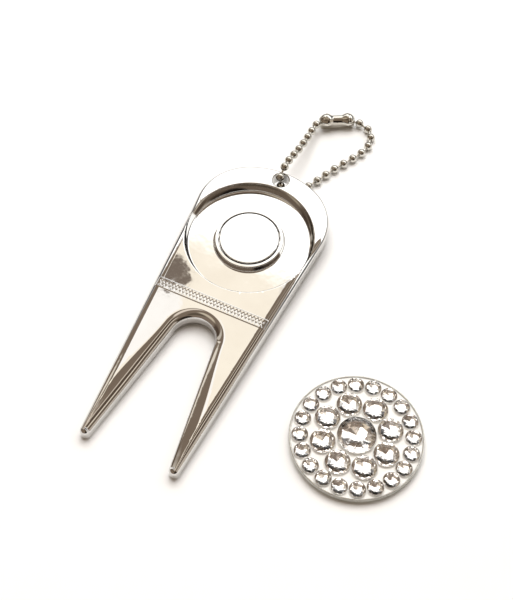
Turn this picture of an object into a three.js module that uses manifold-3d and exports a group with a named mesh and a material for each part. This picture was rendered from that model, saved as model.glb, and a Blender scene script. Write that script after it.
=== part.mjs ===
// Two-prong golf divot repair tool with a magnetic marker seat, a ball-chain loop and a 25 mm
// crystal-set ball marker lying beside it. Millimetres, +Z up, the table is the plane z = 0.
import * as THREE from "three";
import { mergeVertices } from "three/addons/utils/BufferGeometryUtils.js";
import Module from "manifold-3d";

const wasm = await Module();
wasm.setup();

// ---------------------------------------------------------------- driving dimensions
// The tool's own frame: origin under the centre of the marker recess, +Y towards the key-ring hole,
// z = 0 on the underside.
const PLATE_T = 3.0; // thickness of the casting
const BACK_R = 17.45; // back edge of the head, concentric with the recess
const BACK_HALF_ANGLE = THREE.MathUtils.degToRad(25);
const SIDE_POINT = new THREE.Vector2(13.08, -9); // a point on the straight right-hand side
const SIDE_TAPER = THREE.MathUtils.degToRad(3.95);
const SLOT_TOP_Y = -20.8; // crown of the U slot
const FLANK_POINT = new THREE.Vector2(4.5, -25.5); // a point on the slot's right-hand flank
const FLANK_SPLAY = THREE.MathUtils.degToRad(8.4);
const TIP_R = 1.0; // rounded end of each prong
const EDGE_W = 0.9; // rounding of the upper edge, across and down
const EDGE_H = 1.2;

const RECESS_R = 13.0; // takes a 25 mm marker
const RECESS_FLOOR_Z = 1.0;
const RECESS_FILLET = 1.2;
const BOSS_R = 7.2;
const BOSS_TOP_Z = 2.2;
const BOSS_DRAFT = 0.25;
const POCKET_R = 6.25;
const POCKET_FLOOR_Z = 0.6;
const MAGNET_R = 6.05;
const MAGNET_Z = [0.75, 2.3];
const KEY_HOLE_R = 1.75;
const KEY_HOLE_Y = 15.25;
const RIBBON_Y = -17.1; // raised ribbon across the neck
const RIBBON_W = 2.3;
const RIBBON_H = 0.12;
const RIBBON_DEPTH = 0.62; // of the ribbon's block, most of it inside the casting
const RIBBON_END = 1.8; // from each end of the ribbon to the side of the casting
const CUT_PAST = 1.0; // how far a cutter runs past the face that it opens

// The head rests on one bead of the chain, so the tool tips up about its prong ends.
const TOOL_TILT = THREE.MathUtils.degToRad(1.57);

const BEAD_R = 0.9; // 1.8 mm ball chain
const PIN_R = 0.25;
const PIN_GAP = 0.3; // between a link pin's end and the next bead

const CLASP_R = 1.5; // bulbs of the folded connector
const CLASP_CAVITY_R = 1.15;
const CLASP_WAIST_R = 0.95;
const CLASP_MOUTH_HALF_ANGLE = THREE.MathUtils.degToRad(42);
const CLASP_SKIRT = { overhang: 1.1, width: 2.0, depth: 1.6 };
const CLASP_SLOT_W = 0.8;
const CLASP_SLOT_TOP = 0.3; // top of the slot, above the connector's axis
const CLASP_MOUTH_REACH = 1.8; // depth of the cone cut out of each end for the bead's pin

const MARKER_CENTRE = new THREE.Vector2(36.2, -30.0); // from the recess centre, on the table
const MARKER_R = 12.5;
const MARKER_BASE_T = 0.5;
const MARKER_RIM_T = 0.35;
const MARKER_RIM_Z = 1.5;
const MARKER_FOOT_CHAMFER = 0.15;
const SETTING_GAP = 0.1;
const SETTING_TOP_Z = 1.4;
const SOCKET_DEPTH = 0.45;
const SOCKET_GAP = 0.08;

// Crystal rings: radius and height of a stone, pitch circle, count, angle of the first stone and facets.
const CRYSTALS = [
  { name: "crystal_centre", r: 3.6, h: 2.3, pitch: 0, count: 1, first: 0, facets: 12 },
  { name: "crystal_middle", r: 2.32, h: 1.7, pitch: 6.4, count: 8, first: 35, facets: 8 },
  { name: "crystal_outer", r: 1.5, h: 1.2, pitch: 10.45, count: 20, first: 5.4, facets: 8 },
];
const FOOT_SHARE = 0.96; // foot of a stone, as a share of its radius
const TABLE_SHARE = 0.56; // flat table facet, as a share of the stone's radius
const GIRDLE_SHARE = 0.35; // height of the girdle, as a share of the stone's height

// Bead centres of the chain, one by one round the loop: out of the connector, along the table,
// under the head, up through the key-ring hole, over the back edge and back to the connector.
const BEADS = [
  [5.45, 38.6, 1.75], [7.95, 39.25, 1.2], [10.2, 38.7, 0.92], [11.65, 36.8, 0.92],
  [12.0, 34.4, 0.92], [11.4, 32.0, 0.92], [10.3, 29.8, 0.92], [9.1, 27.65, 0.92],
  [7.9, 25.5, 0.92], [6.85, 23.3, 0.92], [5.85, 21.1, 0.92], [4.8, 18.9, 0.92],
  [3.2, 17.05, 0.92], [1.35, 15.75, 0.93], [0, 15.2, 2.75], [-0.35, 15.6, 5.1],
  [-0.4, 17.85, 5.95], [-0.45, 20.15, 5.45], [-0.3, 22.4, 4.85], [-0.15, 24.65, 4.25],
  [-0.1, 26.95, 3.7], [-0.1, 29.25, 3.2], [-0.15, 31.55, 2.75], [-0.1, 33.9, 2.4],
  [1.3, 36.1, 2.1],
].map((p) => new THREE.Vector3(...p));

// ---------------------------------------------------------------- materials
const material = (color, roughness, metalness) =>
  new THREE.MeshStandardMaterial({ color, roughness, metalness });
const chrome = () => material(0xe6e2dd, 0.08, 1);
const magnetSteel = () => material(0xeeeeec, 0.16, 1);
const nickel = () => material(0xc9c5b8, 0.18, 1);
const markerSteel = () => material(0xa9aaa4, 0.28, 1);
const settingWhite = () => material(0xdedcd6, 0.45, 0.2);
const crystalGlass = () => material(0xf4f0ea, 0.03, 0.1);

// ---------------------------------------------------------------- joining and cutting
function solid(geometry) {
  const bare = new THREE.BufferGeometry();
  bare.setAttribute("position", geometry.getAttribute("position"));
  bare.setIndex(geometry.getIndex());
  const merged = mergeVertices(bare, 1e-4);
  return new wasm.Manifold(
    new wasm.Mesh({
      numProp: 3,
      vertProperties: merged.getAttribute("position").array,
      triVerts: new Uint32Array(merged.getIndex().array),
    }),
  );
}

function geometryOf(manifold) {
  const mesh = manifold.getMesh();
  const geometry = new THREE.BufferGeometry();
  geometry.setAttribute("position", new THREE.BufferAttribute(mesh.vertProperties, 3));
  geometry.setIndex(new THREE.BufferAttribute(mesh.triVerts, 1));
  return geometry;
}

// A solid of revolution about Z from [radius, z] pairs that start and end on the axis.
function turned(profile, segments) {
  const points = profile.map(([r, z]) => new THREE.Vector2(r, z));
  return new THREE.LatheGeometry(points, segments).rotateX(Math.PI / 2);
}

const disc = (radius, z0, z1, segments) =>
  turned([[0, z0], [radius, z0], [radius, z1], [0, z1]], segments);

const block = (sx, sy, sz, x, y, z) => new THREE.BoxGeometry(sx, sy, sz).translate(x, y, z);

function named(name, geometry, surface) {
  const mesh = new THREE.Mesh(geometry, surface);
  mesh.name = name;
  return mesh;
}

// ---------------------------------------------------------------- outline of the tool
function arcPoints(centre, radius, from, to, steps) {
  const points = [];
  for (let i = 0; i <= steps; i++) {
    const a = from + ((to - from) * i) / steps;
    points.push(
      new THREE.Vector2(centre.x + radius * Math.cos(a), centre.y + radius * Math.sin(a)),
    );
  }
  return points;
}

// Every stretch of the right-hand half is tangent to the next, and the left half mirrors it.
function toolOutline() {
  const sideNormal = new THREE.Vector2(Math.cos(SIDE_TAPER), -Math.sin(SIDE_TAPER));
  const sideOffset = sideNormal.dot(SIDE_POINT);
  const flankNormal = new THREE.Vector2(-Math.cos(FLANK_SPLAY), -Math.sin(FLANK_SPLAY));
  const flankOffset = flankNormal.dot(FLANK_POINT);

  const shoulderDir = new THREE.Vector2(Math.sin(BACK_HALF_ANGLE), Math.cos(BACK_HALF_ANGLE));
  const share = sideNormal.dot(shoulderDir);
  const shoulderR = (sideOffset - BACK_R * share) / (1 - share);
  const shoulderCentre = shoulderDir.clone().multiplyScalar(BACK_R - shoulderR);

  const crownR =
    (Math.cos(FLANK_SPLAY) * FLANK_POINT.x + Math.sin(FLANK_SPLAY) * (FLANK_POINT.y - SLOT_TOP_Y)) /
    (1 - Math.sin(FLANK_SPLAY));
  const crownCentre = new THREE.Vector2(0, SLOT_TOP_Y - crownR);

  const det = sideNormal.x * flankNormal.y - sideNormal.y * flankNormal.x;
  const a = sideOffset - TIP_R;
  const b = flankOffset - TIP_R;
  const tipCentre = new THREE.Vector2(
    (a * flankNormal.y - b * sideNormal.y) / det,
    (b * sideNormal.x - a * flankNormal.x) / det,
  );

  const rightHalf = [
    ...arcPoints(crownCentre, crownR, Math.PI / 2, FLANK_SPLAY, 8),
    ...arcPoints(tipCentre, TIP_R, Math.PI + FLANK_SPLAY, 2 * Math.PI - SIDE_TAPER, 8),
    ...arcPoints(shoulderCentre, shoulderR, -SIDE_TAPER, Math.PI / 2 - BACK_HALF_ANGLE, 9),
    ...arcPoints(new THREE.Vector2(), BACK_R, Math.PI / 2 - BACK_HALF_ANGLE, Math.PI / 2, 5).slice(1),
  ];
  const leftHalf = rightHalf
    .slice(1, -1)
    .map((p) => new THREE.Vector2(-p.x, p.y))
    .reverse();
  return { points: [...rightHalf, ...leftHalf], tipEndY: tipCentre.y - TIP_R };
}

// ---------------------------------------------------------------- the casting
// The recess as a cutter: vertical upper wall, a round fillet into the floor, and the boss left standing.
function recessCutter() {
  const above = PLATE_T + CUT_PAST;
  const profile = [[0, BOSS_TOP_Z], [BOSS_R - BOSS_DRAFT, BOSS_TOP_Z], [BOSS_R, RECESS_FLOOR_Z]];
  const steps = 5;
  for (let i = 0; i <= steps; i++) {
    const a = (i / steps) * (Math.PI / 2);
    profile.push([
      RECESS_R - RECESS_FILLET + RECESS_FILLET * Math.sin(a),
      RECESS_FLOOR_Z + RECESS_FILLET * (1 - Math.cos(a)),
    ]);
  }
  profile.push([RECESS_R, above], [0, above]);
  return turned(profile, 72);
}

function toolBody() {
  const outline = toolOutline();
  const plate = new THREE.ExtrudeGeometry(new THREE.Shape(outline.points), {
    depth: PLATE_T - EDGE_H,
    bevelEnabled: true,
    bevelSize: EDGE_W,
    bevelOffset: -EDGE_W,
    bevelThickness: EDGE_H,
    bevelSegments: 4,
  });
  // The extrusion is rounded at both ends, and the underside is flat, so the lower rounding is cut away.
  const cutSide = 4 * Math.abs(outline.tipEndY);
  const below = block(cutSide, cutSide, 2 * EDGE_H, 0, 0, -EDGE_H);
  const ribbonLength = 2 * (SIDE_POINT.x - RIBBON_END);
  const ribbonZ = PLATE_T + RIBBON_H - RIBBON_DEPTH / 2;
  const ribbon = block(ribbonLength, RIBBON_W, RIBBON_DEPTH, 0, RIBBON_Y, ribbonZ);
  const pocket = disc(POCKET_R, POCKET_FLOOR_Z, PLATE_T, 48);
  const keyHole = disc(KEY_HOLE_R, -CUT_PAST, PLATE_T + CUT_PAST, 28).translate(0, KEY_HOLE_Y, 0);
  return geometryOf(
    solid(plate)
      .subtract(solid(below))
      .add(solid(ribbon))
      .subtract(solid(recessCutter()))
      .subtract(solid(pocket))
      .subtract(solid(keyHole)),
  );
}

// The tool turns up about the ends of its prongs, so the group's origin is there.
function tool() {
  const { tipEndY } = toolOutline();
  const tilted = new THREE.Group();
  const body = named("tool_body", toolBody(), chrome());
  const magnet = named("magnet", disc(MAGNET_R, ...MAGNET_Z, 48), magnetSteel());
  for (const mesh of [body, magnet]) {
    mesh.position.y = -tipEndY;
    tilted.add(mesh);
  }
  tilted.rotation.x = TOOL_TILT;
  tilted.position.y = tipEndY;
  return tilted;
}

// ---------------------------------------------------------------- the chain
// A bead with its link pin along +Z; the last bead has none.
function beadGeometry(pinEnd) {
  const ball = new THREE.SphereGeometry(BEAD_R, 10, 7).rotateX(Math.PI / 2);
  if (pinEnd <= BEAD_R) return ball;
  return geometryOf(solid(ball).add(solid(disc(PIN_R, 0, pinEnd, 6))));
}

function chain() {
  const group = new THREE.Group();
  BEADS.forEach((centre, i) => {
    const next = BEADS[i + 1];
    const pinEnd = next ? centre.distanceTo(next) - BEAD_R - PIN_GAP : 0;
    const bead = named(`chain_bead_${String(i + 1).padStart(2, "0")}`, beadGeometry(pinEnd), nickel());
    bead.position.copy(centre);
    if (next) {
      const direction = next.clone().sub(centre).normalize();
      bead.quaternion.setFromUnitVectors(new THREE.Vector3(0, 0, 1), direction);
    }
    group.add(bead);
  });
  return group;
}

// The connector: two hollow bulbs joined by a waist, folded from one sheet, open underneath.
function connectorGeometry(halfSpan) {
  const bulb = (radius, x, width, height) =>
    solid(new THREE.SphereGeometry(radius, width, height).translate(x, 0, 0));
  const mouth = (side) => {
    const mouthR = CLASP_MOUTH_REACH * Math.tan(CLASP_MOUTH_HALF_ANGLE);
    return solid(
      new THREE.ConeGeometry(mouthR, CLASP_MOUTH_REACH, 12)
        .translate(0, -CLASP_MOUTH_REACH / 2, 0)
        .rotateZ((side * Math.PI) / 2)
        .translate(side * halfSpan, 0, 0),
    );
  };
  const skirt = CLASP_SKIRT;
  const waist = new THREE.CylinderGeometry(CLASP_WAIST_R, CLASP_WAIST_R, 2 * halfSpan, 12);
  const skirtLength = 2 * (halfSpan + skirt.overhang);
  let shell = solid(waist.rotateZ(Math.PI / 2)).add(
    solid(block(skirtLength, skirt.width, skirt.depth, 0, 0, -skirt.depth / 2)),
  );
  for (const side of [-1, 1]) shell = shell.add(bulb(CLASP_R, side * halfSpan, 14, 10));
  const slotDepth = CLASP_SLOT_TOP + skirt.depth + CUT_PAST;
  const slotZ = CLASP_SLOT_TOP - slotDepth / 2;
  shell = shell.subtract(solid(block(2 * halfSpan, CLASP_SLOT_W, slotDepth, 0, 0, slotZ)));
  for (const side of [-1, 1]) {
    shell = shell.subtract(bulb(CLASP_CAVITY_R, side * halfSpan, 10, 7)).subtract(mouth(side));
  }
  return geometryOf(shell);
}

function connector() {
  const first = BEADS[0];
  const last = BEADS[BEADS.length - 1];
  const along = first.clone().sub(last);
  const mesh = named("chain_connector", connectorGeometry(along.length() / 2), nickel());
  mesh.position.copy(first.clone().add(last).multiplyScalar(0.5));
  mesh.quaternion.setFromUnitVectors(new THREE.Vector3(1, 0, 0), along.normalize());
  return mesh;
}

// ---------------------------------------------------------------- the ball marker
function stonePlaces() {
  const places = [];
  for (const ring of CRYSTALS) {
    for (let i = 0; i < ring.count; i++) {
      const angle = THREE.MathUtils.degToRad(ring.first + (360 / ring.count) * i);
      const digits = ring.count > 9 ? 2 : 1;
      const suffix = ring.count > 1 ? "_" + String(i + 1).padStart(digits, "0") : "";
      places.push({
        name: ring.name + suffix,
        ring,
        angle,
        x: ring.pitch * Math.cos(angle),
        y: ring.pitch * Math.sin(angle),
      });
    }
  }
  return places;
}

function crystalGeometry({ r, h, facets }) {
  const girdle = h * GIRDLE_SHARE;
  const profile = [[0, 0], [r * FOOT_SHARE, 0], [r, girdle], [r * TABLE_SHARE, h], [0, h]];
  return turned(profile, facets);
}

function marker() {
  const group = new THREE.Group();
  const innerR = MARKER_R - MARKER_RIM_T;
  const foot = [[0, 0], [MARKER_R - MARKER_FOOT_CHAMFER, 0], [MARKER_R, MARKER_FOOT_CHAMFER]];
  const rim = [[MARKER_R, MARKER_RIM_Z], [innerR, MARKER_RIM_Z], [innerR, MARKER_BASE_T]];
  const dish = turned([...foot, ...rim, [0, MARKER_BASE_T]], 64);
  group.add(named("marker_blank", dish, markerSteel()));

  let setting = solid(
    disc(innerR - SETTING_GAP, MARKER_BASE_T + SETTING_GAP, SETTING_TOP_Z, 64),
  );
  const stoneFoot = SETTING_TOP_Z - SOCKET_DEPTH;
  for (const { ring, angle, x, y } of stonePlaces()) {
    const socket = disc(ring.r + SOCKET_GAP, stoneFoot, SETTING_TOP_Z + CUT_PAST, ring.facets);
    setting = setting.subtract(solid(socket.rotateZ(angle).translate(x, y, 0)));
  }
  group.add(named("marker_setting", geometryOf(setting), settingWhite()));

  for (const { name, ring, angle, x, y } of stonePlaces()) {
    const stone = named(name, crystalGeometry(ring), crystalGlass());
    stone.position.set(x, y, stoneFoot + SOCKET_GAP);
    stone.rotation.z = angle;
    group.add(stone);
  }
  group.position.set(MARKER_CENTRE.x, MARKER_CENTRE.y, 0);
  return group;
}

// ---------------------------------------------------------------- the whole object
// The row's origin is the middle of the foot of the tool and marker together.
const root = new THREE.Group();
const rigid = new THREE.Group();
rigid.add(tool(), marker());
root.add(rigid, chain(), connector());
const middle = new THREE.Box3().setFromObject(rigid, true).getCenter(new THREE.Vector3());
root.position.set(-middle.x, -middle.y, 0);

export default root;
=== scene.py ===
"""Looks of a two-prong golf divot repair tool with a ball-chain loop and a crystal-set ball marker.

The tool's parts are drawn in millimetres in the tool's own frame: the origin is under the centre of the
marker recess, +Y points at the key-ring hole and z = 0 is the underside. The chain is drawn from the same
origin without the tool's tilt, and the marker about its own centre.
"""
import math

import bpy
import numpy as np
from mathutils import Matrix, Quaternion, Vector
from mathutils.geometry import delaunay_2d_cdt


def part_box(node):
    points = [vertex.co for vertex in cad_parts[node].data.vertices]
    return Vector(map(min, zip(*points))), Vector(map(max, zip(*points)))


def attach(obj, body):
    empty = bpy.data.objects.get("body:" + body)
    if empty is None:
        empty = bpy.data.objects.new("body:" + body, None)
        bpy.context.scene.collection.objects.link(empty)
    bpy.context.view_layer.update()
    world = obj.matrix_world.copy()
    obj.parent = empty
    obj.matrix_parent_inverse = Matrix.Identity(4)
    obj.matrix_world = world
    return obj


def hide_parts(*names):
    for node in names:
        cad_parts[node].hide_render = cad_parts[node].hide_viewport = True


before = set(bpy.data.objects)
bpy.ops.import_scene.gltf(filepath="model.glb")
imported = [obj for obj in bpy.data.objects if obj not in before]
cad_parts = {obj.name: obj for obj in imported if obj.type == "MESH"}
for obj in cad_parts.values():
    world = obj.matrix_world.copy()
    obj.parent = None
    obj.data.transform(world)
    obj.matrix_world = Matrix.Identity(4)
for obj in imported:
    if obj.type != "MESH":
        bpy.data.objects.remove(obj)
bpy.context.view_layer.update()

MM = 0.001

# ---------------------------------------------------------------- sizes shared with the CAD, in millimetres
PLATE_T = 3.0
BACK_R = 17.45
BACK_HALF_ANGLE = math.radians(25)
SIDE_POINT = Vector((13.08, -9.0))
SIDE_TAPER = math.radians(3.95)
SLOT_TOP_Y = -20.8
FLANK_POINT = Vector((4.5, -25.5))
FLANK_SPLAY = math.radians(8.4)
TIP_R = 1.0
RECESS_R = 13.0
RECESS_FLOOR_Z = 1.0
BOSS_R = 7.2
BOSS_TOP_Z = 2.2
BOSS_DRAFT = 0.25
POCKET_R = 6.25
POCKET_FLOOR_Z = 0.6
MAGNET_R = 6.05
MAGNET_Z = (0.75, 2.3)
KEY_HOLE_R = 1.75
KEY_HOLE_Y = 15.25
RIBBON_Y = -17.1
RIBBON_W = 2.3
RIBBON_H = 0.12
TOOL_TILT = math.radians(1.57)
BEAD_R = 0.9
CLASP_R = 1.5
CLASP_SKIRT_WIDTH = 2.0
CLASP_SKIRT_DEPTH = 1.6
MARKER_R = 12.5
MARKER_BASE_T = 0.5
MARKER_RIM_T = 0.35
MARKER_RIM_Z = 1.5
SETTING_TOP_Z = 1.4
STONE_FOOT_Z = 1.03

# The chain's route, bead by bead: out of the connector, along the table, under the head, up through
# the key-ring hole, over the back edge and back to the connector.
BEADS = [
    (5.45, 38.6, 1.75), (7.95, 39.25, 1.2), (10.2, 38.7, 0.92), (11.65, 36.8, 0.92),
    (12.0, 34.4, 0.92), (11.4, 32.0, 0.92), (10.3, 29.8, 0.92), (9.1, 27.65, 0.92),
    (7.9, 25.5, 0.92), (6.85, 23.3, 0.92), (5.85, 21.1, 0.92), (4.8, 18.9, 0.92),
    (3.2, 17.05, 0.92), (1.35, 15.75, 0.93), (0, 15.2, 2.75), (-0.35, 15.6, 5.1),
    (-0.4, 17.85, 5.95), (-0.45, 20.15, 5.45), (-0.3, 22.4, 4.85), (-0.15, 24.65, 4.25),
    (-0.1, 26.95, 3.7), (-0.1, 29.25, 3.2), (-0.15, 31.55, 2.75), (-0.1, 33.9, 2.4),
    (1.3, 36.1, 2.1),
]


# ---------------------------------------------------------------- places, from the frame
def centre_of(node):
    low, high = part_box(node)
    return (low + high) / 2


magnet_mid = Vector((0, 0, sum(MAGNET_Z) / 2)) * MM
TOOL_PLACE = (
    Matrix.Translation(centre_of("magnet"))
    @ Matrix.Rotation(TOOL_TILT, 4, "X")
    @ Matrix.Translation(-magnet_mid)
    @ Matrix.Scale(MM, 4)
)
CHAIN_SHIFT = centre_of("chain_bead_25") - Vector(BEADS[-1]) * MM
CHAIN_PLACE = Matrix.Translation(CHAIN_SHIFT) @ Matrix.Scale(MM, 4)
marker_foot = centre_of("marker_blank")
marker_foot.z = 0
MARKER_PLACE = Matrix.Translation(marker_foot) @ Matrix.Scale(MM, 4)


# ---------------------------------------------------------------- camera
def add_camera():
    place = Vector((0.03795, -0.09817, 0.18906))
    target = Vector((-0.01065, 0.00642, 0.0))
    roll = math.radians(0.52)
    data = bpy.data.cameras.new("camera")
    data.sensor_width = 36.0
    data.lens = 66.85
    data.clip_start = 0.01
    camera = bpy.data.objects.new("camera", data)
    camera.rotation_mode = "QUATERNION"
    camera.location = place
    aim = (target - place).to_track_quat("-Z", "Y")
    camera.rotation_quaternion = aim @ Quaternion((0, 0, 1), roll)
    bpy.context.scene.collection.objects.link(camera)
    bpy.context.scene.camera = camera


add_camera()


# ---------------------------------------------------------------- mesh helpers
class Surface:
    """Points with their normals, and faces, gathered in millimetres and made into one piece."""

    def __init__(self):
        self.points = []
        self.normals = []
        self.faces = []

    def add(self, points, normals, faces):
        start = len(self.points)
        self.points += [Vector(p) for p in points]
        self.normals += [Vector(n) for n in normals]
        self.faces += [[start + i for i in f] for f in faces]

    def add_moved(self, other, matrix):
        turn = matrix.to_3x3().normalized()
        self.add([matrix @ p for p in other.points], [turn @ n for n in other.normals], other.faces)

    def welded(self, within=1e-4):
        """The same surface with points that coincide made one."""
        keys, points, normals, index = {}, [], [], []
        for p, n in zip(self.points, self.normals):
            key = tuple(round(x / within) for x in p)
            if key not in keys:
                keys[key] = len(points)
                points.append(p)
                normals.append(n)
            index.append(keys[key])
        faces = []
        for f in self.faces:
            face = list(dict.fromkeys(index[i] for i in f))
            if len(face) > 2:
                faces.append(face)
        self.points, self.normals, self.faces = points, normals, faces
        return self


def make_piece(name, surface, place, body, material, stands_for, flat=False):
    """One named mesh on its body, in place of the CAD nodes it stands for."""
    mesh = bpy.data.meshes.new(name)
    mesh.from_pydata([place @ p for p in surface.points], [], surface.faces)
    mesh.validate()
    if not flat:
        turn = place.to_3x3().normalized()
        mesh.shade_smooth()
        mesh.normals_split_custom_set_from_vertices([(turn @ n).normalized() for n in surface.normals])
    mesh.materials.append(material)
    piece = bpy.data.objects.new(name, mesh)
    bpy.context.scene.collection.objects.link(piece)
    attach(piece, body)
    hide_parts(*stands_for)
    return piece


def rounded_profile(corners):
    """Points (r, z) and normals of a profile with rounded corners, each given as (r, z, fillet radius).

    The normals are on the right of the way the profile runs. Its two ends stay sharp.
    """
    step = math.radians(10)
    spots = [Vector(c[:2]) for c in corners]

    def right(a, b):
        d = (b - a).normalized()
        return Vector((d.y, -d.x))

    points = [spots[0]]
    normals = [right(spots[0], spots[1])]
    for before, here, after, corner in zip(spots, spots[1:], spots[2:], corners[1:]):
        n0, n1 = right(before, here), right(here, after)
        turn = n0.angle_signed(n1)
        reach = corner[2] * math.tan(abs(turn) / 2)
        start = here + (before - here).normalized() * reach
        centre = start - n0 * corner[2] * math.copysign(1, -turn)
        steps = max(3, math.ceil(abs(turn) / step))
        for k in range(steps + 1):
            n = n0.copy()
            n.rotate(Matrix.Rotation(-turn * k / steps, 2))
            points.append(centre + n * corner[2] * math.copysign(1, -turn))
            normals.append(n)
    points.append(spots[-1])
    normals.append(right(spots[-2], spots[-1]))
    return points, normals


def lathe(points, normals, segments):
    """A profile turned about Z. Points on the axis become poles."""
    surface = Surface()
    turn = [2 * math.pi * j / segments for j in range(segments)]
    for p, n in zip(points, normals):
        ring = [(p.x * math.cos(a), p.x * math.sin(a), p.y) for a in turn]
        tilt = [(n.x * math.cos(a), n.x * math.sin(a), n.y) for a in turn]
        surface.add(ring, tilt, [])
    for i in range(len(points) - 1):
        a, b = i * segments, (i + 1) * segments
        for j in range(segments):
            k = (j + 1) % segments
            surface.faces.append([a + j, a + k, b + k, b + j])
    return surface


# ---------------------------------------------------------------- outline of the tool
side_normal = Vector((math.cos(SIDE_TAPER), -math.sin(SIDE_TAPER)))
side_offset = side_normal.dot(SIDE_POINT)
flank_normal = Vector((-math.cos(FLANK_SPLAY), -math.sin(FLANK_SPLAY)))
flank_offset = flank_normal.dot(FLANK_POINT)
shoulder_dir = Vector((math.sin(BACK_HALF_ANGLE), math.cos(BACK_HALF_ANGLE)))
shoulder_share = side_normal.dot(shoulder_dir)
shoulder_r = (side_offset - BACK_R * shoulder_share) / (1 - shoulder_share)
shoulder_centre = shoulder_dir * (BACK_R - shoulder_r)
crown_r = (
    math.cos(FLANK_SPLAY) * FLANK_POINT.x + math.sin(FLANK_SPLAY) * (FLANK_POINT.y - SLOT_TOP_Y)
) / (1 - math.sin(FLANK_SPLAY))
crown_centre = Vector((0.0, SLOT_TOP_Y - crown_r))
tip_det = side_normal.x * flank_normal.y - side_normal.y * flank_normal.x
tip_a = side_offset - TIP_R
tip_b = flank_offset - TIP_R
tip_centre = Vector((
    (tip_a * flank_normal.y - tip_b * side_normal.y) / tip_det,
    (tip_b * side_normal.x - tip_a * flank_normal.x) / tip_det,
))
BACK_FROM = math.pi / 2 - BACK_HALF_ANGLE


def outline(step):
    """Points round the tool with their outward normals, one every step or so, counterclockwise."""
    points, normals = [], []

    def arc(centre, radius, start, end, outward):
        count = max(4, math.ceil(abs(end - start) * radius / step))
        for i in range(count + 1):
            a = start + (end - start) * i / count
            n = Vector((math.cos(a), math.sin(a)))
            points.append(centre + n * radius)
            normals.append(n * outward)

    def line(start, end, normal):
        count = math.ceil((end - start).length / step)
        for i in range(1, count):
            points.append(start.lerp(end, i / count))
            normals.append(normal)

    arc(crown_centre, crown_r, math.pi / 2, FLANK_SPLAY, -1)
    line(points[-1], tip_centre + flank_normal * TIP_R, flank_normal)
    arc(tip_centre, TIP_R, math.pi + FLANK_SPLAY, 2 * math.pi - SIDE_TAPER, 1)
    line(points[-1], shoulder_centre + side_normal * shoulder_r, side_normal)
    arc(shoulder_centre, shoulder_r, -SIDE_TAPER, BACK_FROM, 1)
    arc(Vector((0.0, 0.0)), BACK_R, BACK_FROM, math.pi / 2, 1)
    for i in reversed(range(1, len(points) - 1)):
        points.append(Vector((-points[i].x, points[i].y)))
        normals.append(Vector((-normals[i].x, normals[i].y)))
    kept = [i for i in range(len(points)) if (points[i] - points[i - 1]).length > 1e-5]
    return [points[i] for i in kept], [normals[i] for i in kept]


def distances(x, y):
    """How far points lie inside the outer edge, the slot's edge and the round of a prong's end."""
    x = np.abs(x)
    around_shoulder = np.arctan2(y - shoulder_centre.y, x - shoulder_centre.x)
    outer = side_offset - (side_normal.x * x + side_normal.y * y)
    shoulder = shoulder_r - np.hypot(x - shoulder_centre.x, y - shoulder_centre.y)
    back = BACK_R - np.hypot(x, y)
    outer = np.where(around_shoulder > -SIDE_TAPER, shoulder, outer)
    outer = np.where(around_shoulder > BACK_FROM, back, outer)
    around_crown = np.arctan2(y - crown_centre.y, x)
    slot = flank_offset - (flank_normal.x * x + flank_normal.y * y)
    crown = np.hypot(x, y - crown_centre.y) - crown_r
    slot = np.where((around_crown > FLANK_SPLAY) & (y > crown_centre.y), crown, slot)
    around_tip = np.arctan2(y - tip_centre.y, x - tip_centre.x)
    end = TIP_R - np.hypot(x - tip_centre.x, y - tip_centre.y)
    in_end = (around_tip < -SIDE_TAPER) & (around_tip > FLANK_SPLAY - math.pi)
    return outer, slot, np.where(in_end, end, np.inf)


# ---------------------------------------------------------------- shape of the tool's upper face
# each rounding is given as its width across the face and its drop
BACK_EDGE = (0.5, 0.5)  # round the back of the head
SIDE_EDGE = (1.7, 1.2)  # along the straight sides
SIDE_EDGE_FROM = 12.0  # the back's rounding starts to widen at this y
SIDE_EDGE_BY = 0.0  # and is the sides' rounding from this y on
SLOT_EDGE = (2.0, 1.2)  # round the slot
PRONG_EDGE = 3.3  # width of the slot's rounding near the prongs' ends
PRONG_EDGE_FROM = -24.0
PRONG_EDGE_BY = -40.0
RECESS_LIP = (0.28, 0.25)
HOLE_LIP = (0.2, 0.2)
BLEND = 4.0  # how sharply two roundings meet on a ridge
FOOT_ROUND = 0.25
RECESS_FILLET = 0.35
RECESS_DRAFT = 0.5
RIBBON_HALF_LENGTH = SIDE_POINT.x - 1.2
SLOT_FROM_Y = SLOT_TOP_Y + 0.1  # the slot's edge lies below this y
RECESS_SEGMENTS = 192
HOLE_SEGMENTS = 64


def smooth(t):
    """0 to 1 with level ends."""
    t = np.clip(t, 0, 1)
    return t * t * (3 - 2 * t)


def rounding(distance, across, down):
    """Drop of a quarter-ellipse edge at a distance inside it."""
    u = np.clip(1 - distance / across, 0, 1)
    return down * (1 - np.sqrt(np.maximum(1 - u * u, 0)))


def outer_edge(y):
    """Width and drop of the outer rounding at y."""
    s = smooth((SIDE_EDGE_FROM - y) / (SIDE_EDGE_FROM - SIDE_EDGE_BY))
    return tuple(b + (a - b) * s for a, b in zip(SIDE_EDGE, BACK_EDGE))


def slot_edge(y):
    """Width of the slot's rounding at y."""
    return SLOT_EDGE[0] + (PRONG_EDGE - SLOT_EDGE[0]) * smooth(
        (PRONG_EDGE_FROM - y) / (PRONG_EDGE_FROM - PRONG_EDGE_BY)
    )


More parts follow.
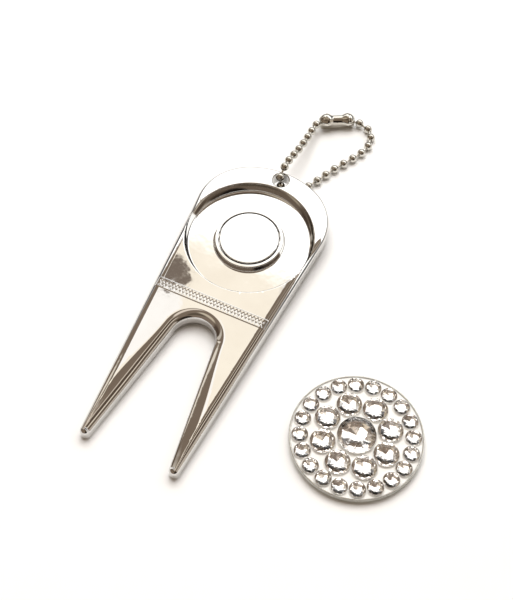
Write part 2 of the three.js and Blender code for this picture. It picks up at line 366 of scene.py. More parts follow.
def ribbon(x, y):
    """The raised ribbon across the neck, engraved with a plain lattice."""
    edge_soft, end_margin = 0.18, 0.5
    pitch, swing, stroke, depth = 1.5, 0.62, 0.1, 0.09
    v = y - RIBBON_Y
    raised = smooth((RIBBON_W / 2 - np.abs(v)) / edge_soft)
    raised = raised * smooth((RIBBON_HALF_LENGTH - np.abs(x)) / edge_soft)
    saw = np.abs((x / pitch) % 1 - 0.5) * 4 - 1
    slope = math.hypot(1, 4 * swing / pitch)
    gap = np.minimum(np.abs(v - saw * swing), np.abs(v + saw * swing)) / slope
    groove = smooth((stroke * 1.6 - gap) / stroke) * (np.abs(x) < RIBBON_HALF_LENGTH - end_margin)
    return RIBBON_H * raised - depth * groove


def face_height(x, y):
    """Height of the upper face: the plate less its roundings, plus the ribbon."""
    outer, slot, end = distances(x, y)
    across, down = outer_edge(y)
    outer_drop = rounding(outer, across, down)
    slot_drop = rounding(slot, slot_edge(y), SLOT_EDGE[1])
    end_drop = rounding(end, *SIDE_EDGE)
    # round a prong's end the outer and slot roundings give way to each other
    inside_end = np.isfinite(end)
    turn = np.arctan2(y - tip_centre.y, np.abs(x) - tip_centre.x)
    share = smooth((-SIDE_TAPER - turn) / (math.pi - SIDE_TAPER - FLANK_SPLAY))
    outer_drop = np.where(inside_end, outer_drop * share, outer_drop)
    slot_drop = np.where(inside_end, slot_drop * (1 - share), slot_drop)
    lip_drop = rounding(np.hypot(x, y) - RECESS_R, *RECESS_LIP)
    hole_drop = rounding(np.hypot(x, y - KEY_HOLE_Y) - KEY_HOLE_R, *HOLE_LIP)
    drops = (outer_drop, slot_drop, end_drop, lip_drop, hole_drop)
    return PLATE_T - sum(drop**BLEND for drop in drops) ** (1 / BLEND) + ribbon(x, y)


def face_normals(x, y):
    """Normals of the upper face, from its slopes."""
    d = 1e-3
    gx = (face_height(x + d, y) - face_height(x - d, y)) / (2 * d)
    gy = (face_height(x, y + d) - face_height(x, y - d)) / (2 * d)
    n = np.stack([-gx, -gy, np.ones_like(gx)], 1)
    return n / np.linalg.norm(n, axis=1)[:, None]


def circle(radius, count, y=0.0):
    turn = [2 * math.pi * i / count for i in range(count)]
    return [Vector((radius * math.cos(a), y + radius * math.sin(a))) for a in turn]


def edge_top(p):
    """Height at which the edge's rounding meets the upright side."""
    inner = p.y < SLOT_FROM_Y and abs(p.x) < abs(tip_centre.x)
    return PLATE_T - (SLOT_EDGE[1] if inner else float(outer_edge(np.array(p.y))[1]))


def add_loop(points, constraints, spots):
    """Adds a closed loop of points that the triangles must follow."""
    start, n = len(points), len(spots)
    points.extend(spots)
    constraints.extend((start + i, start + (i + 1) % n) for i in range(n))


def triangulated(points, constraints):
    """The points after triangulation, and the triangles between them."""
    spots, _, triangles, *_ = delaunay_2d_cdt(points, constraints, [], 0, 1e-6, False)
    return spots, triangles


def middle_of(spots, triangle):
    return sum((spots[i] for i in triangle), Vector((0, 0))) / 3


def upper_face(surface, edge, edge_normals):
    """The face seen from above, from the outer edge to the recess and the key-ring hole."""
    points, constraints = [], []

    add_loop(points, constraints, edge)
    add_loop(points, constraints, circle(RECESS_R, RECESS_SEGMENTS))
    add_loop(points, constraints, circle(KEY_HOLE_R, HOLE_SEGMENTS, KEY_HOLE_Y))
    recess_from = len(edge)
    hole_from = recess_from + RECESS_SEGMENTS
    fixed = len(points)

    def keep_inside(spots, margin):
        """Adds the points that lie on the face, a margin inside its edge."""
        hole_margin = 0.02
        xy = np.array([tuple(p) for p in spots])
        clear = np.min(distances(xy[:, 0], xy[:, 1]), axis=0) > margin
        clear &= np.hypot(xy[:, 0], xy[:, 1]) > RECESS_R + hole_margin
        clear &= np.hypot(xy[:, 0], xy[:, 1] - KEY_HOLE_Y) > KEY_HOLE_R + hole_margin
        points.extend(Vector(p) for p in xy[clear])

    # rings that follow the edge, close together where the rounding is steep
    for share in (0.012, 0.05, 0.11, 0.19, 0.29, 0.41, 0.55, 0.7, 0.85, 0.97, 1.06):
        ring = []
        for p, n in zip(edge, edge_normals):
            slot_side = p.y < SLOT_FROM_Y and n.x * p.x <= 1e-6
            width = float(slot_edge(p.y) if slot_side else outer_edge(p.y)[0])
            ring.append(p - n * width * share)
        widths = [(p - q).length for p, q in zip(ring, edge)]
        xy = np.array([tuple(p) for p in ring])
        near = np.min(distances(xy[:, 0], xy[:, 1]), axis=0)
        keep_inside([p for p, d, w in zip(ring, near, widths) if d > w - 0.01], 0.0)
    for share in (0.03, 0.12, 0.28, 0.5, 0.75, 1.0):
        keep_inside(circle(RECESS_R + RECESS_LIP[0] * share, RECESS_SEGMENTS), 0.02)
        keep_inside(circle(KEY_HOLE_R + HOLE_LIP[0] * share, HOLE_SEGMENTS, KEY_HOLE_Y), 0.02)
    # a fine grid over the ribbon's engraving, and an even one elsewhere
    fine, coarse = 0.085, 0.6
    half = RIBBON_W / 2 + 0.1
    across = SIDE_POINT.x - 1.0
    xs = np.arange(-across, across, fine)
    ys = np.arange(RIBBON_Y - half, RIBBON_Y + half, fine)
    keep_inside([(x, y) for x in xs for y in ys], 0.05)
    xs = np.arange(-BACK_R, BACK_R, coarse)
    ys = np.arange(tip_centre.y - TIP_R, BACK_R, coarse)
    keep_inside([(x, y) for x in xs for y in ys if abs(y - RIBBON_Y) > half], 1.0)

    spots, triangles = triangulated(points, constraints)
    xy = np.array([tuple(p) for p in spots])
    tri = np.array([t for t in triangles if len(t) == 3])
    mid = xy[tri].mean(1)
    inside = np.min(distances(mid[:, 0], mid[:, 1]), axis=0) > 0
    inside &= np.hypot(mid[:, 0], mid[:, 1]) > RECESS_R
    inside &= np.hypot(mid[:, 0], mid[:, 1] - KEY_HOLE_Y) > KEY_HOLE_R
    tri = tri[inside]
    height = face_height(xy[:, 0], xy[:, 1])
    normals = face_normals(xy[:, 0], xy[:, 1])
    for i, n in enumerate(edge_normals):
        normals[i] = (n.x, n.y, 0)
    for i in range(recess_from, fixed):
        middle = Vector((0, 0 if i < hole_from else KEY_HOLE_Y))
        away = (Vector(xy[i]) - middle).normalized()
        normals[i] = (-away.x, -away.y, 0)
    height[:recess_from] = [edge_top(p) for p in edge]
    height[recess_from:hole_from] = PLATE_T - RECESS_LIP[1]
    height[hole_from:fixed] = PLATE_T - HOLE_LIP[1]
    surface.add(np.column_stack([xy, height]), normals, tri.tolist())


def sides_and_underside(surface, edge, edge_normals):
    """The upright sides, the rounding at their foot and the flat underside."""
    n = len(edge)
    foot_steps = 3
    rings = [[(p.x, p.y, edge_top(p)) for p in edge]]
    tilts = [[(v.x, v.y, 0) for v in edge_normals]]
    for k in range(foot_steps + 1):
        a = k / foot_steps * math.pi / 2
        back = FOOT_ROUND * (1 - math.cos(a))
        z = FOOT_ROUND * (1 - math.sin(a))
        rings.append([(p.x - v.x * back, p.y - v.y * back, z) for p, v in zip(edge, edge_normals)])
        tilts.append([(v.x * math.cos(a), v.y * math.cos(a), -math.sin(a)) for v in edge_normals])
    for ring, tilt in zip(rings, tilts):
        surface.add(ring, tilt, [])
    start = len(surface.points) - n * len(rings)
    for i in range(len(rings) - 1):
        a, b = start + i * n, start + (i + 1) * n
        for j in range(n):
            k = (j + 1) % n
            surface.faces.append([a + k, a + j, b + j, b + k])
    # the flat underside, with the key-ring hole through it
    points, constraints = [], []
    add_loop(points, constraints, [Vector(p[:2]) for p in rings[-1]])
    add_loop(points, constraints, circle(KEY_HOLE_R + HOLE_LIP[0], HOLE_SEGMENTS, KEY_HOLE_Y))
    spots, triangles = triangulated(points, constraints)
    kept = []
    for t in triangles:
        mid = middle_of(spots, t)
        inside = min(float(d) for d in distances(np.array(mid.x), np.array(mid.y)))
        if inside > FOOT_ROUND * 0.5 and math.hypot(mid.x, mid.y - KEY_HOLE_Y) > KEY_HOLE_R:
            kept.append(list(reversed(t)))
    surface.add([(p.x, p.y, 0) for p in spots], [(0, 0, -1)] * len(spots), kept)


def tool_body_surface():
    surface = Surface()
    edge, edge_normals = outline(step=0.4)
    upper_face(surface, edge, edge_normals)
    sides_and_underside(surface, edge, edge_normals)
    recess = rounded_profile([
        (RECESS_R, PLATE_T - RECESS_LIP[1], 0),
        (RECESS_R - RECESS_DRAFT, RECESS_FLOOR_Z, RECESS_FILLET),
        (BOSS_R, RECESS_FLOOR_Z, 0.18),
        (BOSS_R - BOSS_DRAFT, BOSS_TOP_Z, 0.22),
        (POCKET_R, BOSS_TOP_Z, 0.12),
        (POCKET_R, POCKET_FLOOR_Z, 0.05),
        (0, POCKET_FLOOR_Z, 0),
    ])
    surface.add_moved(lathe(*recess, RECESS_SEGMENTS), Matrix.Identity(4))
    bore = rounded_profile([
        (KEY_HOLE_R, PLATE_T - HOLE_LIP[1], 0),
        (KEY_HOLE_R, 0, HOLE_LIP[0]),
        (KEY_HOLE_R + HOLE_LIP[0], 0, 0),
    ])
    surface.add_moved(lathe(*bore, HOLE_SEGMENTS), Matrix.Translation((0, KEY_HOLE_Y, 0)))
    return surface.welded()


# ---------------------------------------------------------------- materials
class Nodes:
    """A node material under construction, around its Principled shader."""

    def __init__(self, name, **values):
        self.material = bpy.data.materials.new(name)
        self.material.use_nodes = True
        self.tree = self.material.node_tree
        self.shader = next(n for n in self.tree.nodes if n.type == "BSDF_PRINCIPLED")
        for key, value in values.items():
            self.shader.inputs[key.replace("_", " ")].default_value = value

    def node(self, kind, values=None, **settings):
        made = self.tree.nodes.new(kind)
        for key, value in settings.items():
            setattr(made, key, value)
        for key, value in (values or {}).items():
            made.inputs[key].default_value = value
        return made

    def link(self, a, out, b, socket):
        self.tree.links.new(a.outputs[out], b.inputs[socket])

    def noise(self, scale, detail=2.0, roughness=0.5):
        place = self.node("ShaderNodeTexCoord")
        noise = self.node("ShaderNodeTexNoise", {"Scale": scale, "Detail": detail, "Roughness": roughness})
        self.link(place, "Object", noise, "Vector")
        return noise

    def colour(self, source, stops):
        """Base colour from a noise, by stops of (share, colour)."""
        made = self.node("ShaderNodeValToRGB")
        elements = made.color_ramp.elements
        while len(elements) < len(stops):
            elements.new(0.5)
        for element, (at, colour) in zip(elements, stops):
            element.position = at
            element.color = (*colour, 1)
        self.link(source, "Fac", made, "Fac")
        self.link(made, "Color", self.shader, "Base Color")

    def roughness(self, source, span, to_span):
        """Roughness from a noise, with one span of its values spread over another."""
        made = self.node("ShaderNodeMapRange", {
            "From Min": span[0], "From Max": span[1], "To Min": to_span[0], "To Max": to_span[1],
        })
        self.link(source, "Fac", made, "Value")
        self.link(made, "Result", self.shader, "Roughness")

    def bump(self, source, distance):
        made = self.node("ShaderNodeBump", {"Strength": 1.0, "Distance": distance})
        self.link(source, "Fac", made, "Height")
        self.link(made, "Normal", self.shader, "Normal")


def bright_metal(name, light, dark, rough, wave_height):
    """Plated metal: slow tint changes, fine hazing in patches, and a faint waviness of the metal below."""
    made = Nodes(name, Metallic=1.0)
    made.colour(made.noise(140.0, 3.0), [(0.35, dark), (0.65, light)])
    made.roughness(made.noise(900.0, 4.0, 0.65), (0.45, 0.75), rough)
    made.bump(made.noise(320.0, 2.0), wave_height * MM)
    return made.material


chrome = bright_metal("bright_chrome", (0.69, 0.68, 0.665), (0.66, 0.645, 0.625), (0.02, 0.06), 0.01)
magnet_plate = bright_metal("magnet_plate", (0.74, 0.74, 0.735), (0.70, 0.70, 0.69), (0.1, 0.2), 0.01)
nickel = bright_metal("nickel_plate", (0.66, 0.64, 0.59), (0.56, 0.535, 0.48), (0.06, 0.16), 0.02)
marker_steel = bright_metal("marker_steel", (0.70, 0.70, 0.67), (0.60, 0.60, 0.57), (0.2, 0.34), 0.01)


# ---------------------------------------------------------------- the tool
make_piece(
    "divot_tool_body", tool_body_surface(), TOOL_PLACE, "tool", chrome, ["tool_body"]
)


def magnet_surface():
    low, high = MAGNET_Z
    profile = rounded_profile([
        (0, low, 0),
        (MAGNET_R, low, 0.1),
        (MAGNET_R, high, 0.22),
        (0, high, 0),
    ])
    return lathe(*profile, segments=144).welded()


make_piece(
    "disc_magnet", magnet_surface(), TOOL_PLACE, "tool", magnet_plate, ["magnet"]
)


# ---------------------------------------------------------------- the chain and its connector
def bead_surface():
    """A hollow bead along Z, with its ends turned in round the pin's holes."""
    hole, steps, segments = 0.3, 18, 28
    start = math.asin(hole / BEAD_R)
    turned_in = Vector((hole - 0.04, -BEAD_R * math.cos(start) + 0.1))
    points, normals = [turned_in], [Vector((-1, 0))]
    for i in range(steps + 1):
        a = start + (math.pi - 2 * start) * i / steps
        n = Vector((math.sin(a), -math.cos(a)))
        points.append(n * BEAD_R)
        normals.append(n)
    points.append(Vector((turned_in.x, -turned_in.y)))
    normals.append(Vector((-1, 0)))
    return lathe(points, normals, segments)


def pin_surface(length):
    """A link pin along Z, a little thicker where it enters each bead."""
    ends, waist = 0.27, 0.22
    profile = rounded_profile([
        (0, 0, 0),
        (ends, 0, 0.03),
        (waist, length / 2, 2.0),
        (ends, length, 0.03),
        (0, length, 0),
    ])
    return lathe(*profile, segments=14)


def along(place, way):
    """A placement with Z turned to run along a way."""
    return Matrix.Translation(place) @ way.to_track_quat("Z", "Y").to_matrix().to_4x4()


def chain_surface():
    """The beads, each turned along the chain, and a pin from each to the next."""
    surface = Surface()
    bead = bead_surface()
    pin_start = BEAD_R - 0.12
    spots = [Vector(b) for b in BEADS]
    for i, here in enumerate(spots):
        before = spots[max(i - 1, 0)]
        after = spots[min(i + 1, len(spots) - 1)]
        surface.add_moved(bead, along(here, after - before))
        if i + 1 < len(spots):
            pin = pin_surface((after - here).length - 2 * pin_start)
            surface.add_moved(pin, along(here, after - here) @ Matrix.Translation((0, 0, pin_start)))
    return surface


bead_nodes = [f"chain_bead_{i + 1:02d}" for i in range(len(BEADS))]
ball_chain = make_piece(
    "ball_chain", chain_surface(), CHAIN_PLACE, "chain", nickel, bead_nodes
)


def connector_surface(span):
    """A strip folded lengthwise: two bulbs round the end beads, a waist, and straight walls below."""
    half_span = span / 2
    reach = half_span + CLASP_R * 0.86
    waist, mouth, thick = 1.12, 0.62, 0.2
    stations, turns = 56, 22

    def radius(x):
        bulb = math.sqrt(max(CLASP_R**2 - (abs(x) - half_span) ** 2, 0))
        neck = waist if abs(x) < half_span else mouth
        return (bulb**4 + neck**4) ** 0.25

    def section(x, shrink):
        """Points of one cross-section, from one lower edge over the top to the other."""
        r = radius(x) - shrink
        w = CLASP_SKIRT_WIDTH / 2 - shrink
        turn = [math.pi * k / turns for k in range(turns + 1)]
        over = [(x, r * math.cos(a), r * math.sin(a)) for a in turn]
        # the walls draw in to the skirt, which is cut back at both ends
        end = min(1.0, (reach - abs(x)) / 0.25)
        foot = -CLASP_SKIRT_DEPTH * (0.55 + 0.45 * end)
        left = [(x, w, foot), (x, w, foot * 0.62), (x, w + (r - w) * 0.45, foot * 0.3)]
        right = [(x, -y, z) for _, y, z in reversed(left)]
        return left + over + right

    surface = Surface()
    xs = [-reach + 2 * reach * i / stations for i in range(stations + 1)]
    outer = [section(x, 0) for x in xs]
    inner = [list(reversed(section(x, thick))) for x in xs]
    loops = [a + b for a, b in zip(outer, inner)]
    n = len(loops[0])
    for loop in loops:
        surface.add(loop, [(0, 0, 1)] * n, [])
    for i in range(stations):
        for j in range(n):
            k = (j + 1) % n
            surface.faces.append([i * n + j, i * n + k, (i + 1) * n + k, (i + 1) * n + j])
    half = n // 2
    for base, flip in ((0, False), (stations * n, True)):
        for j in range(half - 1):
            quad = [base + j, base + j + 1, base + n - 2 - j, base + n - 1 - j]
            surface.faces.append(quad[::-1] if flip else quad)
    return surface


def make_connector():
    first, last = Vector(BEADS[0]), Vector(BEADS[-1])
    lean = Vector((1, 0, 0)).rotation_difference(first - last).to_matrix().to_4x4()
    place = CHAIN_PLACE @ Matrix.Translation((first + last) / 2) @ lean
    piece = make_piece(
        "ball_chain_connector", connector_surface((first - last).length), place,
        "connector", nickel, ["chain_connector"], flat=True,
    )
    piece.data.shade_smooth()
    bevel = piece.modifiers.new("edge_break", "BEVEL")
    bevel.width = 0.05 * MM
    bevel.segments = 2
    bevel.limit_method = "ANGLE"
    bevel.angle_limit = math.radians(50)
    return piece


connector = make_connector()


# ---------------------------------------------------------------- the ball marker
def blank_surface():
    """A steel disc with a turned-up rim."""
    inner = MARKER_R - MARKER_RIM_T
    profile = rounded_profile([
        (0, 0, 0),
        (MARKER_R - 0.1, 0, 0.1),
        (MARKER_R, 0.12, 0.1),
        (MARKER_R, MARKER_RIM_Z, 0.12),
        (inner, MARKER_RIM_Z, 0.12),
        (inner, MARKER_BASE_T, 0.05),
        (0, MARKER_BASE_T, 0),
    ])
    return lathe(*profile, segments=192).welded()


make_piece(
    "marker_steel_blank", blank_surface(), MARKER_PLACE, "marker", marker_steel,
    ["marker_blank"],
)

# node name, radius, height, girdle as a share of the height, pitch circle, count, angle of the first, sides
STONE_RINGS = [
    ("crystal_centre", 3.64, 2.3, 0.42, 0.0, 1, 0.0, 12),
    ("crystal_middle", 2.39, 1.7, 0.44, 6.4, 8, 35.0, 8),
    ("crystal_outer", 1.57, 1.2, 0.48, 10.45, 20, 5.4, 8),
]
TABLE_SHARE = 0.5  # of the stone's radius
STAR_SHARE = 0.76
STAR_RISE = 0.58  # of the crown's height
GIRDLE_HALF_T = 0.04
STONE_BACK_SHARE = 0.66
STONE_BACK_Z = 0.98
STONE_BACK_SLOPE = 0.125
LEAN_LEAST = 1.2  # degrees
LEAN_STEP = 0.4
SETTING_LIP_H = 0.1
SETTING_LIP_W = 0.2
SOCKET_GAP = 0.04


class Stone:
    """One stone's place on the marker and its sizes."""

    def __init__(self, node, radius, height, girdle, sides, pitch, angle):
        self.node = node
        self.radius = radius
        self.top = STONE_FOOT_Z + height
        self.girdle = STONE_FOOT_Z + height * girdle
        self.sides = sides
        self.x = pitch * math.cos(angle)
        self.y = pitch * math.sin(angle)
        self.angle = angle


def all_stones():
    stones = []
    for name, radius, height, girdle, pitch, count, first, sides in STONE_RINGS:
        digits = len(str(count))
        for i in range(count):
            angle = math.radians(first + 360 / count * i)
            node = name if count == 1 else f"{name}_{i + 1:0{digits}d}"
            stones.append(Stone(node, radius, height, girdle, sides, pitch, angle))
    return stones


STONES = all_stones()
RIM_SEGMENTS = 160


def setting_surface():
    """The bed that holds the stones: flat, with a lip round each socket and a collar up to each girdle."""
    outer = MARKER_R - MARKER_RIM_T - 0.03
    segments = 48
    points, constraints = [], []

    def gap(x, y):
        """Distance outside the nearest socket."""
        return min(math.hypot(x - s.x, y - s.y) - s.radius - SOCKET_GAP for s in STONES)

    add_loop(points, constraints, circle(outer, RIM_SEGMENTS))
    for s in STONES:
        socket = circle(s.radius + SOCKET_GAP, segments)
        add_loop(points, constraints, [p + Vector((s.x, s.y)) for p in socket])
    for share in (0.25, 0.5, 0.8, 1.1):
        width = SETTING_LIP_W * share
        for s in STONES:
            ring = [p + Vector((s.x, s.y)) for p in circle(s.radius + SOCKET_GAP + width, segments)]
            points.extend(p for p in ring if gap(*p) > width - 0.01 and p.length < outer - 0.03)
    spots, triangles = triangulated(points, constraints)

    def height(p):
        """A rounded ridge beside the socket's edge."""
        t = min(max(gap(*p) / SETTING_LIP_W, 0), 1)
        return SETTING_TOP_Z - SETTING_LIP_H + SETTING_LIP_H * math.sin(math.pi * (0.25 + 0.75 * t))

    kept = []
    for t in triangles:
        mid = middle_of(spots, t)
        if gap(*mid) > 0 and mid.length < outer:
            kept.append(list(t))
    surface = Surface()
    surface.add([(p.x, p.y, height(p)) for p in spots], [(0, 0, 1)] * len(spots), kept)
    for s in STONES:
        collar = s.radius + SOCKET_GAP
        inner = s.radius - 0.02
        socket = rounded_profile([
            (collar, height(Vector((s.x + collar, s.y))), 0),
            (collar, s.girdle, 0.03),
            (inner, s.girdle, 0.03),
            (inner, 0.9, 0.05),
            (0, 0.55, 0),
        ])
        surface.add_moved(lathe(*socket, segments), Matrix.Translation((s.x, s.y, 0)))
    rim = rounded_profile([
        (0, MARKER_BASE_T, 0),
        (outer, MARKER_BASE_T, 0.02),
        (outer, SETTING_TOP_Z - SETTING_LIP_H, 0),
    ])
    surface.add_moved(lathe(*rim, RIM_SEGMENTS), Matrix.Identity(4))
    return surface


def crystal_surface(stone):
    """A cut stone and its count of clear faces.

    It has a table, star and kite facets, a thin girdle, and a bevelled back with a shallow point under foil.
    """
    n = stone.sides
    girdle_r = stone.radius - 0.01
    crown = stone.top - stone.girdle

    def ring(r, z, shift, count):
        turn = [2 * math.pi * (i + shift) / count for i in range(count)]
        return [(r * math.cos(a), r * math.sin(a), z) for a in turn]

    table = ring(stone.radius * TABLE_SHARE, stone.top, 0, n)
    star_r = stone.radius * STAR_SHARE / math.cos(math.pi / (2 * n))
    star = ring(star_r, stone.girdle + crown * STAR_RISE, 0.5, n)
    upper = ring(girdle_r, stone.girdle + GIRDLE_HALF_T, 0, 2 * n)
    lower = ring(girdle_r, stone.girdle - GIRDLE_HALF_T, 0, 2 * n)
    back_r = stone.radius * STONE_BACK_SHARE
    back = ring(back_r, STONE_BACK_Z, 0, n)
    point = (0, 0, STONE_BACK_Z - STONE_BACK_SLOPE * back_r)
    points = table + star + upper + lower + back + [point]
    # where each ring starts among the points
    t0, s0, u0, l0, b0, p0 = 0, n, 2 * n, 4 * n, 6 * n, 7 * n
    faces = [[t0 + i for i in range(n)]]
    foiled = []
    for i in range(n):
        k = (i + 1) % n
        a, b, c = 2 * i, 2 * i + 1, (2 * i + 2) % (2 * n)
        faces.append([t0 + i, s0 + i, t0 + k])
        faces.append([t0 + k, s0 + i, u0 + c, s0 + k])
        faces.append([s0 + i, u0 + a, u0 + b])
        faces.append([s0 + i, u0 + b, u0 + c])
        foiled.append([l0 + b, l0 + a, b0 + i])
        foiled.append([l0 + b, b0 + i, b0 + k])
        foiled.append([l0 + c, l0 + b, b0 + k])
        foiled.append([b0 + k, b0 + i, p0])
    for i in range(2 * n):
        k = (i + 1) % (2 * n)
        faces.append([u0 + i, l0 + i, l0 + k, u0 + k])
    surface = Surface()
    surface.add(points, [(0, 0, 1)] * len(points), faces + foiled)
    return surface, len(faces)


def glass_material():
    """Clear lead glass with a faint warm tint and very fine handling marks."""
    made = Nodes("crystal_glass", Transmission_Weight=1.0, IOR=1.56)
    made.colour(made.noise(260.0, 1.0), [(0.3, (1.0, 0.985, 0.96)), (0.7, (0.985, 0.985, 1.0))])
    made.roughness(made.noise(2400.0, 2.0), (0.6, 0.8), (0.0, 0.04))
    return made.material


def foil_material():
    """Silver foil behind the stones, slightly cloudy."""
    made = Nodes("foil_backing", Metallic=1.0)
    cloud = made.noise(500.0, 2.0)
    made.colour(cloud, [(0.3, (0.94, 0.925, 0.91)), (0.7, (0.985, 0.98, 0.97))])
    made.roughness(cloud, (0.3, 0.8), (0.08, 0.14))
    return made.material


def setting_material():
    """Silver-white setting resin, slightly uneven where it has flowed between the stones."""
    made = Nodes("setting_resin")
    cloud = made.noise(420.0, 3.0)
    made.colour(cloud, [(0.3, (0.86, 0.845, 0.815)), (0.7, (0.92, 0.908, 0.88))])
    made.roughness(cloud, (0.3, 0.8), (0.2, 0.4))
    made.bump(made.noise(700.0, 2.0), 0.04 * MM)
    return made.material


make_piece(
    "marker_setting_bed", setting_surface(), MARKER_PLACE, "marker", setting_material(),
    ["marker_setting"], flat=True,
)


def stone_seat(stone, i):
    """A stone's placement. They are set by hand, so each sits a little out of true."""
    way = i * 2.4
    amount = math.radians(LEAN_LEAST + i * 7 % 5 * LEAN_STEP)
    lean = Matrix.Rotation(amount, 4, Vector((math.cos(way), math.sin(way), 0)))
    to_girdle = Matrix.Translation((stone.x, stone.y, stone.girdle))
    return to_girdle @ lean @ Matrix.Translation((0, 0, -stone.girdle)) @ Matrix.Rotation(stone.angle, 4, "Z")


glass, foil = glass_material(), foil_material()
for i, stone in enumerate(STONES):
    surface, clear_faces = crystal_surface(stone)
    piece = make_piece(
        stone.node.replace("crystal", "cut_crystal"), surface, MARKER_PLACE @ stone_seat(stone, i),
        "marker", glass, [stone.node], flat=True,
    )
    piece.data.materials.append(foil)
    for face in piece.data.polygons[clear_faces:]:
        face.material_index = 1


# ---------------------------------------------------------------- floor and light
def add_floor():
    made = Nodes("pale_table", Roughness=0.75, Specular_IOR_Level=0.2)
    made.colour(made.noise(90.0, 3.0), [(0.3, (0.935, 0.935, 0.93)), (0.7, (0.95, 0.948, 0.942))])
    bpy.ops.mesh.primitive_plane_add(size=3.0, location=(0, 0, 0))
    floor = bpy.context.object
    floor.name = "table_top"
    floor.data.materials.append(made.material)


def direction(east, north):
    """A direction of the sky from its angles in degrees away from the zenith, towards +X and +Y."""
    away = math.radians(math.hypot(east, north))
    around = math.atan2(east, north)
    return Vector((math.sin(away) * math.sin(around), math.sin(away) * math.cos(around), math.cos(away)))


def linear(red, green, blue):
    """Screen values from 0 to 255 as linear ones."""
    return tuple(((c / 255 + 0.055) / 1.055) ** 2.4 for c in (red, green, blue))


SKY_PATCHES = [  # angles from the zenith towards +X and +Y, half sizes, softness, colour
    ((-85, -10), (42, 20), 0.5, linear(74, 62, 52)),
    ((85, -15), (38, 28), 0.5, linear(64, 54, 44)),
    ((75, 20), (24, 22), 0.5, linear(180, 170, 158)),
    ((-60, 9), (30, 4), 0.5, linear(190, 182, 170)),
    ((-22, -18), (16, 9), 0.6, linear(190, 178, 158)),
    ((50, -50), (16, 24), 0.5, linear(34, 29, 25)),
    ((5, -35), (22, 12), 0.6, linear(88, 78, 66)),
    ((-1, 7), (12, 6), 0.5, linear(218, 206, 192)),
    ((-58, 18.5), (16, 1.5), 0.5, linear(222, 214, 200)),
    ((-17.5, 20.5), (6.8, 9.5), 0.15, linear(251, 242, 226)),
    ((-20.4, 21.2), (4.4, 3.8), 0.12, linear(255, 252, 248)),
    ((-18.5, 24.7), (1.7, 1.0), 0.15, linear(118, 106, 96)),
    ((21, 16), (7, 10), 0.9, linear(84, 72, 62)),
    ((12, 16), (1.8, 10), 0.8, linear(208, 196, 180)),
    ((31, 12), (2.6, 16), 0.7, linear(232, 220, 204)),
    ((46, 16), (9, 9), 0.9, linear(92, 80, 70)),
]
SKY_BASE = linear(118, 104, 91)  # the room around the patches
SKY_GAIN = 1.48  # the plating gives back about two thirds of what it mirrors
WALL_COLOUR = (2.2, 2.178, 2.134)
WALL_LEAN = -0.174
WALL_EDGE = (0.285, 0.315)
WALL_FOOT = (0.5, 0.36)  # upward part of the directions between which the wall ends
GAP_COLOUR = (0.14, 0.138, 0.145)
BACKDROP_COLOUR = (0.94, 0.94, 0.935)


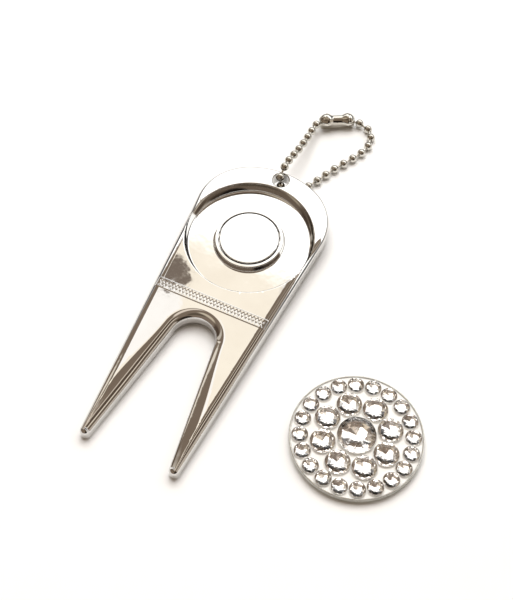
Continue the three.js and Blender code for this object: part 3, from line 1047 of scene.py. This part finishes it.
def add_world():
    """A studio seen by the metal: a white wall of light behind the object and a dim brown room in front."""
    world = bpy.data.worlds.new("studio")
    world.use_nodes = True
    bpy.context.scene.world = world
    tree = world.node_tree
    tree.nodes.clear()

    def node(kind, inputs=(), **settings):
        made = tree.nodes.new(kind)
        for key, value in settings.items():
            setattr(made, key, value)
        for i, value in enumerate(inputs):
            if value is None:
                continue
            if hasattr(value, "links"):
                tree.links.new(value, made.inputs[i])
            else:
                made.inputs[i].default_value = value
        return made

    def dot(vector):
        return node("ShaderNodeVectorMath", (look, vector), operation="DOT_PRODUCT").outputs["Value"]

    def maths(operation, a, b=None):
        return node("ShaderNodeMath", (a, b), operation=operation).outputs[0]

    def step(value, low, high):
        made = node("ShaderNodeMapRange", (value, low, high, 0.0, 1.0), interpolation_type="SMOOTHSTEP")
        return made.outputs["Result"]

    def mix(share, a, b):
        made = node("ShaderNodeMix", data_type="RGBA")
        for socket, value in ((made.inputs["Factor"], share), (made.inputs[6], a), (made.inputs[7], b)):
            if hasattr(value, "links"):
                tree.links.new(value, socket)
            else:
                socket.default_value = (*value, 1) if isinstance(value, tuple) else value
        return made.outputs[2]

    look = node("ShaderNodeTexCoord").outputs["Generated"]
    colour = tuple(SKY_GAIN * c for c in SKY_BASE)
    for (east, north), (half_e, half_n), soft, tint in SKY_PATCHES:
        centre = direction(east, north)
        out = Vector((east, north, 0)).normalized()
        side = Vector((-out.y, out.x, 0))
        down = side.cross(centre).normalized()
        # the patch's axes follow +X and +Y as seen in the zenith view
        u = down * out.x + side * -out.y
        v = down * out.y + side * out.x
        a = maths("MULTIPLY", dot(u), 1 / math.sin(math.radians(half_e)))
        b = maths("MULTIPLY", dot(v), 1 / math.sin(math.radians(half_n)))
        reach = maths("SQRT", maths("ADD", maths("MULTIPLY", a, a), maths("MULTIPLY", b, b)))
        inside = step(reach, 1.0 + soft / 2, 1.0 - soft / 2)
        facing = step(dot(centre), 0.0, 0.1)
        colour = mix(maths("MULTIPLY", inside, facing), colour, tuple(SKY_GAIN * c for c in tint))
    # the wall of light: everything beyond a nearly straight line across the sky on the +Y side
    up = dot(Vector((0, 0, 1)))
    rise = maths("ADD", dot(Vector((0, 1, 0))), maths("MULTIPLY", up, WALL_LEAN))
    lit = step(rise, *WALL_EDGE)
    colour = mix(lit, colour, WALL_COLOUR)
    # the wall ends above the table, and a grey gap shows below it
    colour = mix(maths("MULTIPLY", lit, step(up, *WALL_FOOT)), colour, GAP_COLOUR)
    colour = mix(node("ShaderNodeLightPath").outputs["Is Camera Ray"], colour, BACKDROP_COLOUR)
    background = node("ShaderNodeBackground")
    tree.links.new(colour, background.inputs["Color"])
    output = node("ShaderNodeOutputWorld")
    tree.links.new(background.outputs[0], output.inputs["Surface"])


def add_lamp(name, place, size, power):
    """A soft lamp that lights the table without showing as a shape in the chrome."""
    data = bpy.data.lights.new(name, "AREA")
    data.shape = "DISK"
    data.size = size
    data.energy = power
    lamp = bpy.data.objects.new(name, data)
    lamp.location = place
    lamp.rotation_mode = "QUATERNION"
    lamp.rotation_quaternion = (-Vector(place)).to_track_quat("-Z", "Y")
    lamp.visible_glossy = False
    bpy.context.scene.collection.objects.link(lamp)


add_floor()
add_world()
add_lamp("overhead_softbox", (-0.12, 0.2, 0.55), 0.5, 2.6)
bpy.context.scene.view_settings.view_transform = "Standard"
